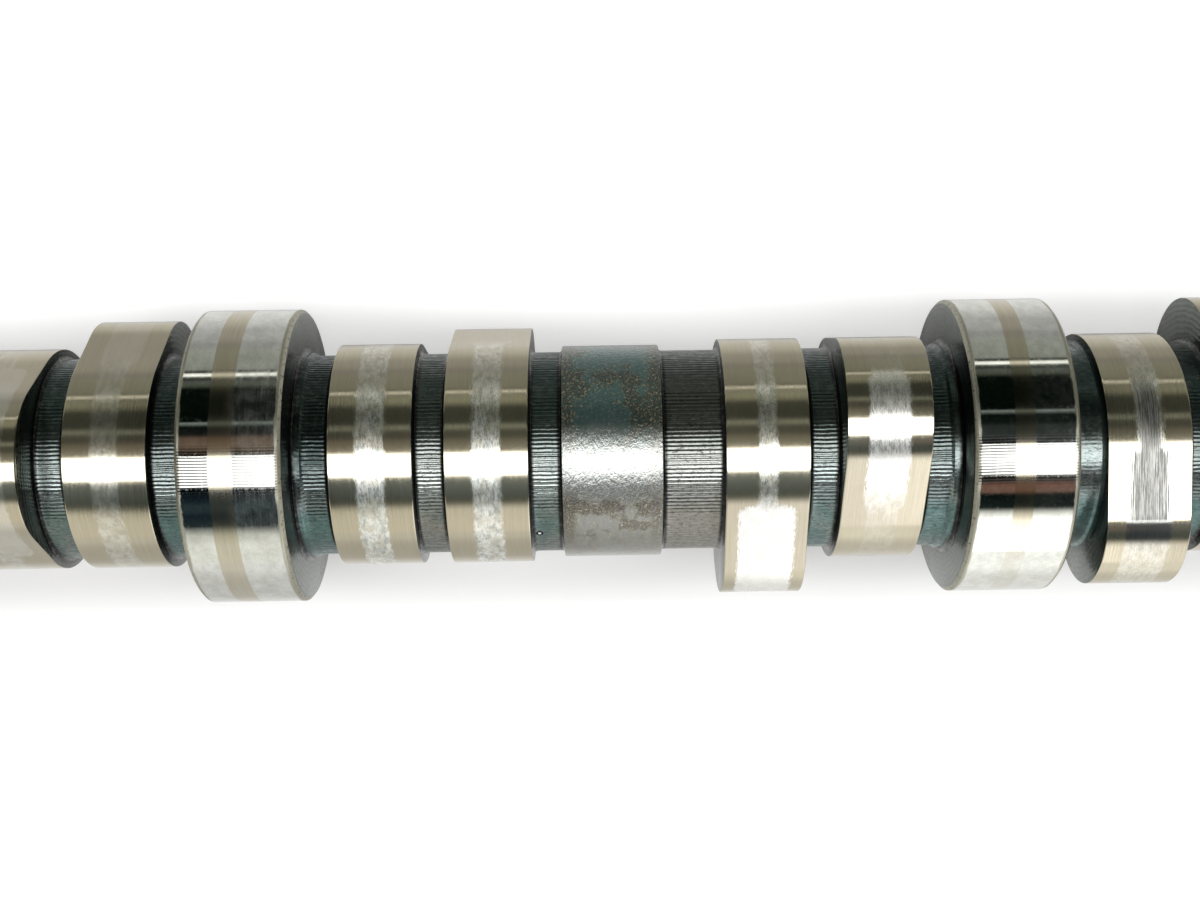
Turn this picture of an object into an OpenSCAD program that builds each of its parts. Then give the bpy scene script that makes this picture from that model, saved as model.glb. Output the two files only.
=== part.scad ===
// Camshaft of a large V8 engine that carries it in the block: five bearing
// journals and sixteen lobes on one steel shaft, turned and ground in one piece.
// The axis runs along X and +X is to the rear. The origin is on the axis, in
// the middle of the front journal. The shaft lies on its journals.
// All sizes are in millimetres and all angles in degrees.

/* [Bearing journals] */
// Diameter of the ground bearing journals
journal_d = 49.5; // [48.8:0.1:54]
// Width of each bearing journal
journal_w = 16.5; // [13:0.1:19]
// Distance from one journal to the next, centre to centre
journal_pitch = 124; // [118:0.5:136]
// Chamfer on the rims of the journals
journal_chamfer = 0.6; // [0.2:0.1:1.2]

/* [Lobes] */
// Diameter of the lobes' base circle
base_circle_d = 37.3; // [36:0.1:39]
// How far the lobes' tips stay inside the journals' surface
tip_clearance = 0.25; // [0.1:0.05:1]
// Radius of the lobes' rounded noses
nose_r = 13.3; // [11:0.1:15]
// Width of each lobe
lobe_w = 13.4; // [11:0.1:15]

/* [Timing] */
// Angle between the exhaust lobe and the inlet lobe of a cylinder
lobe_separation = 108; // [100:1:118]
// Angle between the two rows of tappets that the lobes lift
bank_angle = 90; // [60:1:90]
// How far the shaft is turned about its axis as it lies
shaft_turn = 102; // [0:1:359]

/* [Necks] */
// How far the necks lie below the lobes' base circle
neck_step = 1.75; // [1.4:0.05:3]
// Width of the neck between the two lobes of a pair
pair_gap = 5.1; // [3:0.1:7]
// Width of the neck between a journal and the lobe beside it
journal_gap = 6.1; // [4:0.1:7.5]
// Height of the shoulder that carries each journal, above the neck
shoulder_step = 0.5; // [0.2:0.05:0.8]
// Width of that shoulder
shoulder_w = 1.4; // [1.1:0.1:2]
// Radius of the fillets where the necks meet the lobes and the journals
fillet_r = 0.9; // [0.5:0.1:1]

/* [Middle sections] */
// Height of each bay's unground middle section, above the necks
middle_step = 1; // [0.8:0.05:1.2]
// Width of the neck in front of the middle section
middle_front_gap = 5.3; // [3:0.1:8]
// Width of the neck behind the middle section
middle_rear_gap = 10; // [6:0.1:14]

/* [Ends] */
// Diameter of the seat for the timing gear
gear_seat_d = 28; // [20:0.5:32]
// Length of the seat for the timing gear
gear_seat_l = 22; // [14:0.5:40]
// Height of the collar behind the gear, above the gear's seat
collar_step = 1.5; // [0.5:0.1:3]
// Width of that collar, which the thrust plate straddles
thrust_gap = 5.5; // [4:0.5:9]
// Length of the plain boss behind the rear journal
rear_boss_l = 6; // [3:0.5:20]
// Diameter of the mouths of the centre holes in both ends
centre_d = 9; // [6:0.5:12]
// Chamfer on the rims of the two ends
end_chamfer = 1; // [0.5:0.1:2]

/* [Hidden] */
$fn = 96;

journals = 5;
bays = journals - 1;
journal_r = journal_d / 2;
base_r = base_circle_d / 2;
neck_r = base_r - neck_step;
shoulder_r = neck_r + shoulder_step;
middle_r = neck_r + middle_step;
middle_fillet = middle_step / 2;
middle_chamfer = middle_step / 4;
gear_seat_r = gear_seat_d / 2;
collar_r = gear_seat_r + collar_step;
centre_r = centre_d / 2;
centre_angle = 60;
pilot_r = centre_r * 0.4;
pilot_l = centre_r;

// The nose is a circle inside the lobe, tangent to both of its straight flanks.
nose_x = journal_r - tip_clearance - nose_r;
flank_turn = acos((base_r - nose_r) / nose_x);

// Centres of a bay's lobes from the middle of the bay, front to rear, and the
// two faces of its middle section.
outer_lobe_x = (journal_pitch - journal_w - lobe_w) / 2 - journal_gap;
inner_lobe_x = outer_lobe_x - lobe_w - pair_gap;
lobe_xs = [-outer_lobe_x, -inner_lobe_x, inner_lobe_x, outer_lobe_x];
middle_front_x = -inner_lobe_x + lobe_w / 2 + middle_front_gap;
middle_rear_x = inner_lobe_x - lobe_w / 2 - middle_rear_gap;

// Faces of the collar, the shaft's front end and its rear end.
collar_x = -journal_w / 2 - thrust_gap;
front_x = collar_x - gear_seat_l;
rear_x = bays * journal_pitch + journal_w / 2 + rear_boss_l;

// Cylinders are numbered in pairs from the front, odd ones in the first bank.
// Each bay's lobes, front to rear, are [bank, valve], and the valve is
// -1 for exhaust and 1 for inlet.
firing_order = [1, 8, 4, 3, 6, 5, 7, 2];
bay_valves = [[1, 1], [0, -1], [1, -1], [0, 1]];

function journal_x(i) = i * journal_pitch;
function bay_x(b) = journal_x(b) + journal_pitch / 2;
function fires(cylinder) = search(cylinder, firing_order)[0] * 360 / len(firing_order);

// Direction of a lobe's nose about the shaft, from +Y towards +Z.
function lobe_phase(b, s) =
    let (bank = bay_valves[s][0], valve = bay_valves[s][1])
    bank_angle * (1 / 2 - bank) + fires(2 * b + 1 + bank)
        + valve * lobe_separation / 2 + shaft_turn;

// Fillet at the front end of a neck, from the face at x down to the neck.
function fillet_down(x, r, f) =
    [for (a = [0:30:90]) [x + f * (1 - cos(a)), r + f * (1 - sin(a))]];

// Fillet at the rear end of a neck, from the neck up to the face at x.
function fillet_up(x, r, f) =
    [for (a = [0:30:90]) [x - f * (1 - sin(a)), r + f * (1 - cos(a))]];

// The ends of a neck that meets a journal: face, shoulder and small step.
function from_journal(x) =
    concat(fillet_down(x, shoulder_r, fillet_r),
           [[x + shoulder_w, shoulder_r], [x + shoulder_w + shoulder_step, neck_r]]);
function to_journal(x) =
    concat([[x - shoulder_w - shoulder_step, neck_r], [x - shoulder_w, shoulder_r]],
           fillet_up(x, shoulder_r, fillet_r));

// Outline of the six necks of bay b, from one journal to the next.
function bay_necks(b) =
    let (x = bay_x(b), h = lobe_w / 2)
    concat(
        from_journal(journal_x(b) + journal_w / 2),
        fillet_up(x + lobe_xs[0] - h, neck_r, fillet_r),
        fillet_down(x + lobe_xs[0] + h, neck_r, fillet_r),
        fillet_up(x + lobe_xs[1] - h, neck_r, fillet_r),
        fillet_down(x + lobe_xs[1] + h, neck_r, fillet_r),
        fillet_up(x + middle_front_x, neck_r, middle_fillet),
        fillet_down(x + middle_rear_x, neck_r, middle_fillet),
        fillet_up(x + lobe_xs[2] - h, neck_r, fillet_r),
        fillet_down(x + lobe_xs[2] + h, neck_r, fillet_r),
        fillet_up(x + lobe_xs[3] - h, neck_r, fillet_r),
        fillet_down(x + lobe_xs[3] + h, neck_r, fillet_r),
        to_journal(journal_x(b + 1) - journal_w / 2));

// A solid turned about the X axis, from an outline of [x, radius] points.
module turned(outline)
    rotate([90, 0, 90])
        rotate_extrude()
            polygon([for (p = outline) [p[1], p[0]]]);

// A disc from x = -w/2 to x = w/2 with chamfered rims.
module disc(r, w, c)
    turned([[-w / 2, 0], [-w / 2, r - c], [-w / 2 + c, r],
            [w / 2 - c, r], [w / 2, r - c], [w / 2, 0]]);

// The shaft between and under everything else, with its fillets and shoulders.
module necks()
    color([0.24, 0.28, 0.29])
        turned(concat(
            [[journal_x(0), 0], [journal_x(0), shoulder_r]],
            [for (b = [0:bays - 1]) for (p = bay_necks(b)) p],
            [[journal_x(bays), shoulder_r], [journal_x(bays), 0]]));

module journals()
    color([0.78, 0.78, 0.75])
        for (i = [0:journals - 1])
            translate([journal_x(i), 0, 0])
                disc(journal_r, journal_w, journal_chamfer);

// The middle section of each bay, left as it was turned.
module middle_sections()
    color([0.36, 0.45, 0.47])
        for (b = [0:bays - 1])
            translate([bay_x(b) + (middle_front_x + middle_rear_x) / 2, 0, 0])
                disc(middle_r, middle_rear_x - middle_front_x, middle_chamfer);

// Outline of a lobe with its nose towards +X: the base circle, the nose and the
// two straight flanks, which are tangent to both.
module lobe_outline()
{
    base_y = base_r * sin(flank_turn);
    nose_y = nose_r * sin(flank_turn);
    base_tangent_x = base_r * cos(flank_turn);
    nose_tangent_x = nose_x + nose_r * cos(flank_turn);
    circle(r = base_r);
    translate([nose_x, 0]) circle(r = nose_r);
    polygon([[0, 0], [base_tangent_x, base_y], [nose_tangent_x, nose_y], [nose_x, 0],
             [nose_tangent_x, -nose_y], [base_tangent_x, -base_y]]);
}

// One lobe with its nose towards +Y.
module lobe()
    translate([-lobe_w / 2, 0, 0])
        rotate([90, 0, 90])
            linear_extrude(lobe_w)
                lobe_outline();

module lobes()
    color([0.66, 0.64, 0.58])
        for (b = [0:bays - 1])
            for (s = [0:len(lobe_xs) - 1])
                translate([bay_x(b) + lobe_xs[s], 0, 0])
                    rotate([lobe_phase(b, s), 0, 0])
                        lobe();

// Seat for the timing gear, against the collar that the thrust plate straddles.
module front_end()
    color([0.6, 0.6, 0.58])
        turned([[front_x, 0],
                [front_x, gear_seat_r - end_chamfer],
                [front_x + end_chamfer, gear_seat_r],
                [collar_x, gear_seat_r],
                [collar_x, collar_r],
                [journal_x(0), collar_r],
                [journal_x(0), 0]]);

module rear_end()
    color([0.6, 0.6, 0.58])
        turned([[journal_x(bays), 0],
                [journal_x(bays), neck_r],
                [rear_x - end_chamfer, neck_r],
                [rear_x, neck_r - end_chamfer],
                [rear_x, 0]]);

// Centre hole that the shaft was turned and ground on: a cone and a pilot
// hole, with its mouth at x = 0 and its depth towards +X.
module centre_hole()
{
    cone_l = (centre_r - pilot_r) / tan(centre_angle / 2);
    turned([[-1, 0], [-1, centre_r], [0, centre_r], [cone_l, pilot_r],
            [cone_l + pilot_l, pilot_r], [cone_l + pilot_l, 0]]);
}

module camshaft()
    difference()
    {
        union()
        {
            necks();
            journals();
            middle_sections();
            lobes();
            front_end();
            rear_end();
        }
        translate([front_x, 0, 0]) centre_hole();
        translate([rear_x, 0, 0]) mirror([1, 0, 0]) centre_hole();
    }

camshaft();
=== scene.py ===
import bpy
import math
import numpy as np
from mathutils import Matrix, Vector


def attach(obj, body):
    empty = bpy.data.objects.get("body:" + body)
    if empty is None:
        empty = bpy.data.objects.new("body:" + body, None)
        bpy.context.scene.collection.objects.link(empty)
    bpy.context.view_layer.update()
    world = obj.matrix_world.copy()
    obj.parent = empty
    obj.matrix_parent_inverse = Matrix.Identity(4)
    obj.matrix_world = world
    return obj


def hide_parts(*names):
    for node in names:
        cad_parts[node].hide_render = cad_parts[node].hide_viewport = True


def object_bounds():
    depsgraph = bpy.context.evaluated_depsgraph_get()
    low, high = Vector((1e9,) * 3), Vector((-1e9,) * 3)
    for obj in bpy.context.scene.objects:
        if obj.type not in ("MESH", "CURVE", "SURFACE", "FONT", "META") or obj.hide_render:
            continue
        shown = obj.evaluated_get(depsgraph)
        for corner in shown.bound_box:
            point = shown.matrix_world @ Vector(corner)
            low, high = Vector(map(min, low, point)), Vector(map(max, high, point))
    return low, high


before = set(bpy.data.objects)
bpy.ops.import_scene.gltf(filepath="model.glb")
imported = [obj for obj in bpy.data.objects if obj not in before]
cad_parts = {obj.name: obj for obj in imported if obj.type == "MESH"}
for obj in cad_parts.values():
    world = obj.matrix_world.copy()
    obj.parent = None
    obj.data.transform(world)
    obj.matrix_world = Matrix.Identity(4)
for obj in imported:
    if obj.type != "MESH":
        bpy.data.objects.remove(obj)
cad_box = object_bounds()

MM = 0.001

# The camshaft's sizes in millimetres, as they are in the CAD model.
JOURNALS = 5
JOURNAL_R = 24.75
JOURNAL_W = 16.5
PITCH = 124.0
JOURNAL_CHAMFER = 0.6
BASE_R = 18.65
TIP_R = 24.5
NOSE_R = 13.3
LOBE_W = 13.4
PAIR_GAP = 5.1
JOURNAL_GAP = 6.1
NECK_R = 16.9
SHOULDER_R = 17.4
SHOULDER_W = 1.4
FILLET_R = 0.9
MIDDLE_R = 17.9
MIDDLE_FRONT_GAP = 5.3
MIDDLE_REAR_GAP = 10.0
GEAR_SEAT_R = 14.0
GEAR_SEAT_L = 22.0
COLLAR_R = 15.5
THRUST_GAP = 5.5
REAR_BOSS_L = 6.0
CENTRE_R = 4.5
PILOT_R = 1.8
CENTRE_CONE = 60.0
END_CHAMFER = 1.0
LOBE_SEPARATION = 108.0
BANK_ANGLE = 90.0
SHAFT_TURN = 102.0
FIRING_ORDER = (1, 8, 4, 3, 6, 5, 7, 2)
BAY_VALVES = ((1, 1), (0, -1), (1, -1), (0, 1))
FRONT_X = -JOURNAL_W / 2 - THRUST_GAP - GEAR_SEAT_L
REAR_X = (JOURNALS - 1) * PITCH + JOURNAL_W / 2 + REAR_BOSS_L
SHAFT_MIDDLE = (FRONT_X + REAR_X) / 2
SHAFT_HALF = (REAR_X - FRONT_X) / 2

NOSE_X = TIP_R - NOSE_R
FLANK_TURN = math.acos((BASE_R - NOSE_R) / NOSE_X)
OUTER_LOBE_X = (PITCH - JOURNAL_W - LOBE_W) / 2 - JOURNAL_GAP
INNER_LOBE_X = OUTER_LOBE_X - LOBE_W - PAIR_GAP
LOBE_XS = (-OUTER_LOBE_X, -INNER_LOBE_X, INNER_LOBE_X, OUTER_LOBE_X)
MIDDLE_FRONT_X = -INNER_LOBE_X + LOBE_W / 2 + MIDDLE_FRONT_GAP
MIDDLE_REAR_X = INNER_LOBE_X - LOBE_W / 2 - MIDDLE_REAR_GAP

# How finely round shapes and the nose, the flanks and the base circle of a lobe are
# divided, how far the edges of journals, lobes and collar are rounded, how far a
# second row keeps that rounding to the edge, and how far the necks reach into the
# faces at their ends.
JOURNAL_STEPS = 256
ROUND_STEPS = 192
NOSE_STEPS = 56
FLANK_STEPS = 14
BASE_STEPS = 130
JOURNAL_EDGE = 0.12
LOBE_EDGE = 0.16
COLLAR_EDGE = 0.15
EDGE_HOLD = 0.08
SUNK = 0.4

# The fine lengthwise ribs on the necks: how many, how many points each has round the
# shaft, how high they are, how much their heights vary, and how they wander. At a
# lobe and at a middle section they fade into a fillet: its radius, and how much of
# the ribs' height is left at its points.
RIBS = 158
RIB_STEPS = 5
RIB_HEIGHT = 0.08
RIB_VARIETY = 0.45
RIB_SWAY = 0.35
RIB_DRIFT = 6.28
NECK_FILLETS = {"lobe": (FILLET_R, (0, 0, 0.1, 0.35, 0.75, 1)),
                "middle": ((MIDDLE_R - NECK_R) / 2, (0, 0, 0.2, 0.7, 1))}

# Numbers that the meshes carry at each of their points, for the materials.
#   across  journals: millimetres from the middle. Middle sections: the same, as a
#           share. Lobes: millimetres to the edge of the worn area, less than 0
#           inside. Necks: millimetres from the nearer face.
#   nose    lobes: the patch on the nose. Journals: the patches of chatter lines.
#   seed    journals: haze. Lobes: scuffs. Necks: tone.
#   wear  how clearly a lobe's track or a journal's stripe shows; a lobe's
#           track is fainter on the far side as painted shade. Necks: painted shade
#           on the upper side.
#   shift   how far a journal's stripe lies from its usual place.
#   gloss   lobes: the polished strip beside the scuffs.
MESH_NUMBERS = ("across", "nose", "seed", "wear", "shift", "gloss")

# The six necks of a bay: how strong the ribs are, the colour, from 0 for blue-green
# black to 1 for brownish grey, and how much more painted shade darkens the upper side.
NECK_LOOKS = ((0.9, 0.1, 1.0), (1.0, 0.5, 0.2), (1.0, 0.35, 0.2),
              (1.0, 1.0, 0.2), (0.9, 0.3, 0.3), (0.9, 0.1, 0.5))
REAR_NECK_LOOKS = ((0.15, 0.0, 0.3), (0.6, 0.1, 0.6), (1.0, 0.4, 0.2),
                   (1.0, 0.9, 0.2), (0.9, 0.2, 0.3), (0.8, 0.1, 0.5))

# Directions about the shaft of its upper side, darkened as painted shade on the
# necks and blue on the middle sections, and of a painted highlight line along it.
UPPER_SIDE_TURN = 40.0
HIGHLIGHT_TURN = 97.0

# How hazy each journal is. A hazy one has the wider stripe, too.
JOURNAL_HAZE = (0.5, 0.2, 0.9, 0.1, 0.6)

# The unworn stripe round each journal: its place, its half width, what haze adds to
# that, how far it is shifted by direction, for the journals where it is, and how
# clearly it shows on the side where it is faded, by direction and journal.
STRIPE_X = -1.1
STRIPE_HALF = 1.55
STRIPE_SPREAD = 0.35
SHIFT_TURNS = (0, 60, 90, 360)
STRIPE_SHIFTS = {3: (1.5, 0.8, 0.65, 0.65)}
FADED_TURNS = (118, 140, 200, 220)
FADED_STRIPES = (0.9, 0.6, 0.85, 0.25, 0.7)

# Distance between the rings on the side faces.
RING_PITCH = 0.95

# Chatter lines on the journals, drawn as darker colour, which paints their shade in
# the highlight band: how many patches of them there are, the direction of the middle
# of one, where the highlight falls, how many lines would go round, how strong they
# are by the angle from the middle, and for each journal in the middle itself.
CHATTER_PATCHES = 3
CHATTER_HIGHLIGHT_TURN = 95.5
CHATTER_LINES = 336
CHATTER_EDGES = (0.0, 4.5, 7.5, 9.5)
CHATTER_MIDDLES = (0.75, 0.85, 0.97, 0.85, 0.8)

# Wear of the lobes, by bay and lobe: the half width of the roller's track on the
# base circle, the half width of the patch on the nose, where that patch starts and
# ends along the outline from the tip, how clearly the track and the patch show, and
# how much the opening flank is scuffed.
LOBE_WEAR = {
    (1, 2): (1.9, 4.7, -22.0, 22.0, 0.40, 0.35, 0.0),
    (1, 3): (2.2, 3.2, -24.0, 24.0, 0.45, 0.25, 0.0),
    (2, 0): (2.35, 3.6, -24.0, 24.0, 1.0, 0.6, 0.0),
    (2, 1): (2.35, 4.2, -22.0, 22.5, 1.0, 0.06, 0.0),
    (2, 2): (1.55, 4.6, -24.6, 18.0, 0.85, 1.0, 0.0),
    (2, 3): (2.6, 3.3, -1.8, 23.0, 0.15, 0.95, 0.0),
    (3, 0): (2.2, 3.6, -25.0, 20.0, 0.85, 0.85, 1.0),
}
PLAIN_WEAR = (2.1, 4.4, -23.0, 21.0, 0.8, 0.8, 0.0)
PATCH_CORNER = 1.8

# Where along the outline the scuffs lie and the polished strip beside them, and how
# clearly the track and the nose's pale tone show on a scuffed lobe.
SCUFF_SPAN = (-38.0, -33.0, -13.0, -12.5)
GLOSS_SPAN = (-12.7, -12.4, -9.8, -8.6)
SCUFFED_TRACK = ((-41.0, -35.0, -12.6, -12.0), (0.8, 1.0, 1.0, 0.5))
SCUFFED_NOSE = ((-12.6, -12.0), (1.0, 0.3))

# How much of the tracks shows, by direction: they are faint on the far side, which paints shade
# over them there.
FAINT_TRACK = ((-60.0, -20.0, 50.0, 62.0), (1.0, 0.5, 0.5, 1.0))

# A small pit in the neck between the second lobe and the middle section of the
# third bay, and the distances in metres from its middle over which its painted
# black shade and the painted glint in it end.
PIT = (295.6, -13.4, 10.25)
PIT_SHADE_RIM = (0.0007, 0.0005)
PAINTED_GLINT_RIM = (0.0003, 0.0002)

# How much brighter the floor looks to the camera, away from the shaft and in the
# shadows on its near and far side, and the distances in metres over which the
# shadows end. The floor reaches 3 metres to each side.
FLOOR_HALF = 3.0
FLOOR_GLOW = 0.85
SHADOW_GLOW = (0.03, 0.42)
SHADOW_EDGE = (0.022, 0.045)

# The soft box: its height above the shaft and its length in metres, the angles that
# it spans from straight up towards the near side, and its radiance.
KEY_HEIGHT = 0.5
KEY_LENGTH = 1.3
KEY_ANGLES = (-0.2, 23.2)
KEY_RADIANCE = 4.2

# The camera of the photograph, from a fit to the shaft's edges.
CAMERA_X = 305.1
CAMERA_Z = 256.4
PHOTO_PX = 1200
FOCAL_PX = 1501.0
CAMERA_YAW = -0.14
CAMERA_PITCH = 0.02
CAMERA_ROLL = -0.89


def journal_x(i):
    return i * PITCH


def bay_x(b):
    return (b + 0.5) * PITCH


def lobe_phase(b, s):
    """Direction of a lobe's nose about the shaft in degrees, from +Y towards +Z."""
    bank, valve = BAY_VALVES[s]
    fires = FIRING_ORDER.index(2 * b + 1 + bank) * 360 / len(FIRING_ORDER)
    return BANK_ANGLE * (0.5 - bank) + fires + valve * LOBE_SEPARATION / 2 + SHAFT_TURN


# ---- Camera -----------------------------------------------------------------

def make_camera():
    data = bpy.data.cameras.new("camera")
    data.sensor_width = 36.0
    data.lens = FOCAL_PX / PHOTO_PX * data.sensor_width
    data.clip_start = 0.01
    camera = bpy.data.objects.new("camera", data)
    turn = (Matrix.Rotation(math.radians(CAMERA_YAW), 4, "Y")
            @ Matrix.Rotation(math.radians(CAMERA_PITCH), 4, "X")
            @ Matrix.Rotation(math.radians(CAMERA_ROLL), 4, "Z"))
    camera.matrix_world = Matrix.Translation((CAMERA_X * MM, 0, CAMERA_Z * MM)) @ turn
    bpy.context.scene.collection.objects.link(camera)
    bpy.context.scene.camera = camera


# ---- Node helpers -----------------------------------------------------------

def put(tree, kind, inputs=None, **settings):
    """Adds a node. inputs gives values or sockets to link, by name or number."""
    node = tree.nodes.new(kind)
    for key, value in settings.items():
        setattr(node, key, value)
    for key, value in (inputs or {}).items():
        socket = node.inputs[key]
        if isinstance(value, bpy.types.NodeSocket):
            tree.links.new(value, socket)
        else:
            socket.default_value = value
    return node


def calc(tree, operation, a, b=0.0):
    return put(tree, "ShaderNodeMath", {0: a, 1: b}, operation=operation).outputs[0]


def plus(tree, a, b):
    return calc(tree, "ADD", a, b)


def minus(tree, a, b):
    return calc(tree, "SUBTRACT", a, b)


def times(tree, a, b):
    return calc(tree, "MULTIPLY", a, b)


def vector(tree, operation, inputs, output="Vector"):
    return put(tree, "ShaderNodeVectorMath", inputs, operation=operation).outputs[output]


def span(tree, value, low, high, to_low=0.0, to_high=1.0):
    """Maps value smoothly from low..high to to_low..to_high."""
    node = put(tree, "ShaderNodeMapRange",
               {"Value": value, "From Min": low, "From Max": high,
                "To Min": to_low, "To Max": to_high},
               interpolation_type="SMOOTHSTEP")
    return node.outputs["Result"]


def blend(tree, factor, a, b):
    """Mixes two colours."""
    a, b = ((*c, 1.0) if isinstance(c, tuple) else c for c in (a, b))
    return put(tree, "ShaderNodeMix", {0: factor, 6: a, 7: b}, data_type="RGBA").outputs[2]


def level(tree, factor, a, b):
    """Mixes two numbers."""
    return put(tree, "ShaderNodeMix", {0: factor, 2: a, 3: b}, data_type="FLOAT").outputs[0]


def object_place(tree):
    """The place on the shaft in metres."""
    return put(tree, "ShaderNodeTexCoord").outputs["Object"]


def scaled(tree, x, y, z):
    """The place on the shaft in millimetres, times x, y and z."""
    return vector(tree, "MULTIPLY", {0: object_place(tree), 1: (x / MM, y / MM, z / MM)})


def noise(tree, place, detail=2.0, rough=0.5):
    node = put(tree, "ShaderNodeTexNoise",
               {"Vector": place, "Scale": 1.0, "Detail": detail, "Roughness": rough})
    return node.outputs["Fac"]


def axis_distance(tree):
    """Distance from the shaft's axis in metres."""
    _, y, z = put(tree, "ShaderNodeSeparateXYZ", {0: object_place(tree)}).outputs
    return calc(tree, "SQRT", plus(tree, times(tree, y, y), times(tree, z, z)))


def axis_turn(tree):
    """Direction about the shaft's axis in radians, from +Y towards +Z."""
    _, y, z = put(tree, "ShaderNodeSeparateXYZ", {0: object_place(tree)}).outputs
    return calc(tree, "ARCTAN2", z, y)


def axis_cosine(tree, degrees):
    """Cosine of the angle about the axis from the given direction."""
    return calc(tree, "COSINE", minus(tree, axis_turn(tree), math.radians(degrees)))


def read(tree, name):
    """A number that the mesh carries at each of its points."""
    return put(tree, "ShaderNodeAttribute", attribute_name=name).outputs["Fac"]


def bump(tree, height, strength, distance, under=None):
    inputs = {"Height": height, "Strength": strength, "Distance": distance * MM}
    if under is not None:
        inputs["Normal"] = under
    return put(tree, "ShaderNodeBump", inputs).outputs["Normal"]


def new_material(name, metallic=1.0):
    material = bpy.data.materials.new(name)
    material.use_nodes = True
    tree = material.node_tree
    shader = tree.nodes["Principled BSDF"]
    shader.inputs["Metallic"].default_value = metallic
    return material, tree, shader


def finish_shader(tree, shader, color, rough, normal=None):
    tree.links.new(color, shader.inputs["Base Color"])
    tree.links.new(rough, shader.inputs["Roughness"])
    if normal is not None:
        tree.links.new(normal, shader.inputs["Normal"])


# ---- Materials --------------------------------------------------------------

def stripe_mask(tree, across):
    """Where the unworn stripe shows on a journal."""
    middle = plus(tree, read(tree, "shift"), STRIPE_X)
    half = plus(tree, times(tree, read(tree, "seed"), STRIPE_SPREAD), STRIPE_HALF)
    beyond = minus(tree, calc(tree, "ABSOLUTE", minus(tree, across, middle)), half)
    return times(tree, span(tree, beyond, 0.12, -0.12), read(tree, "wear"))


def draw_chatter_shade(tree, color, across, streaks, stripe):
    """Draws the chatter lines, which run lengthwise, over a journal's colour, as painted shade in
    the highlight.
    """
    turn = times(tree, axis_turn(tree), CHATTER_LINES)
    sway = times(tree, noise(tree, scaled(tree, 0.12, 0.12, 0.12), 0.0), 4.0)
    lines = calc(tree, "SINE", plus(tree, turn, sway))
    lined = times(tree, read(tree, "nose"), span(tree, across, -7.0, 7.0, 1.0, 0.74))
    lined = times(tree, lined, span(tree, streaks, 0.2, 0.5, 0.85, 1.0))
    lined = times(tree, lined, level(tree, stripe, 1.0, 0.4))
    # Painted shade: the chatter lines are darkened in the colour.
    darker = vector(tree, "SCALE", {0: color, "Scale": span(tree, lines, -0.5, 1.0, 0.06, 0.55)})
    return blend(tree, lined, color, darker)


def journal_material():
    """Mirror-ground bearing surface with an unworn stripe, chatter lines and dull rims."""
    material, tree, shader = new_material("ground_journal")
    across, seed = read(tree, "across"), read(tree, "seed")
    mottle = noise(tree, scaled(tree, 0.5, 0.4, 0.4), 5.0, 0.7)
    specks = noise(tree, scaled(tree, 2.2, 1.6, 1.6), 4.0, 0.75)
    streaks = noise(tree, scaled(tree, 3.0, 0.12, 0.12), 3.0, 0.6)
    stripe = stripe_mask(tree, across)
    behind = span(tree, across, -1.0, 1.0)
    from_middle = plus(tree, calc(tree, "ABSOLUTE", across), times(tree, mottle, 0.8))
    rim = span(tree, from_middle, 7.6, 7.95)
    polish_and_highlight = blend(tree, span(tree, mottle, 0.3, 0.7), (0.69, 0.695, 0.645), (0.87, 0.875, 0.83))
    polish_and_highlight = blend(tree, span(tree, specks, 0.50, 0.66, 0.0, 0.35), polish_and_highlight, (0.86, 0.89, 0.89))
    brown = blend(tree, streaks, (0.51, 0.46, 0.345), (0.70, 0.65, 0.52))
    color = blend(tree, stripe, polish_and_highlight, brown)
    color = blend(tree, rim, color, (0.45, 0.44, 0.36))
    color = draw_chatter_shade(tree, color, across, streaks, stripe)
    hazy = span(tree, seed, 0.0, 0.9, 0.065, 0.12)
    rough = level(tree, behind, 0.035, span(tree, streaks, 0.3, 0.7, 0.05, hazy))
    rough = level(tree, span(tree, specks, 0.50, 0.66, 0.0, 0.7), rough, 0.13)
    rough = level(tree, stripe, rough, span(tree, seed, 0.0, 0.9, 0.10, 0.125))
    rough = level(tree, rim, rough, 0.36)
    haze = times(tree, span(tree, mottle, 0.35, 0.7, 0.008, 0.04), behind)
    haze = times(tree, haze, plus(tree, seed, 0.15))
    tree.links.new(minus(tree, 1.0, haze), shader.inputs["Metallic"])
    finish_shader(tree, shader, color, rough, bump(tree, streaks, 0.12, 0.01))
    return material


def rim_material():
    """Tan, slightly pitted chamfer."""
    material, tree, shader = new_material("journal_chamfer")
    pits = noise(tree, scaled(tree, 2.2, 2.2, 2.2), 3.0, 0.7)
    color = blend(tree, span(tree, pits, 0.56, 0.66), (0.43, 0.415, 0.335), (0.09, 0.085, 0.07))
    rough = span(tree, pits, 0.3, 0.7, 0.30, 0.50)
    finish_shader(tree, shader, color, rough, bump(tree, pits, 0.4, 0.05))
    return material


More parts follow.
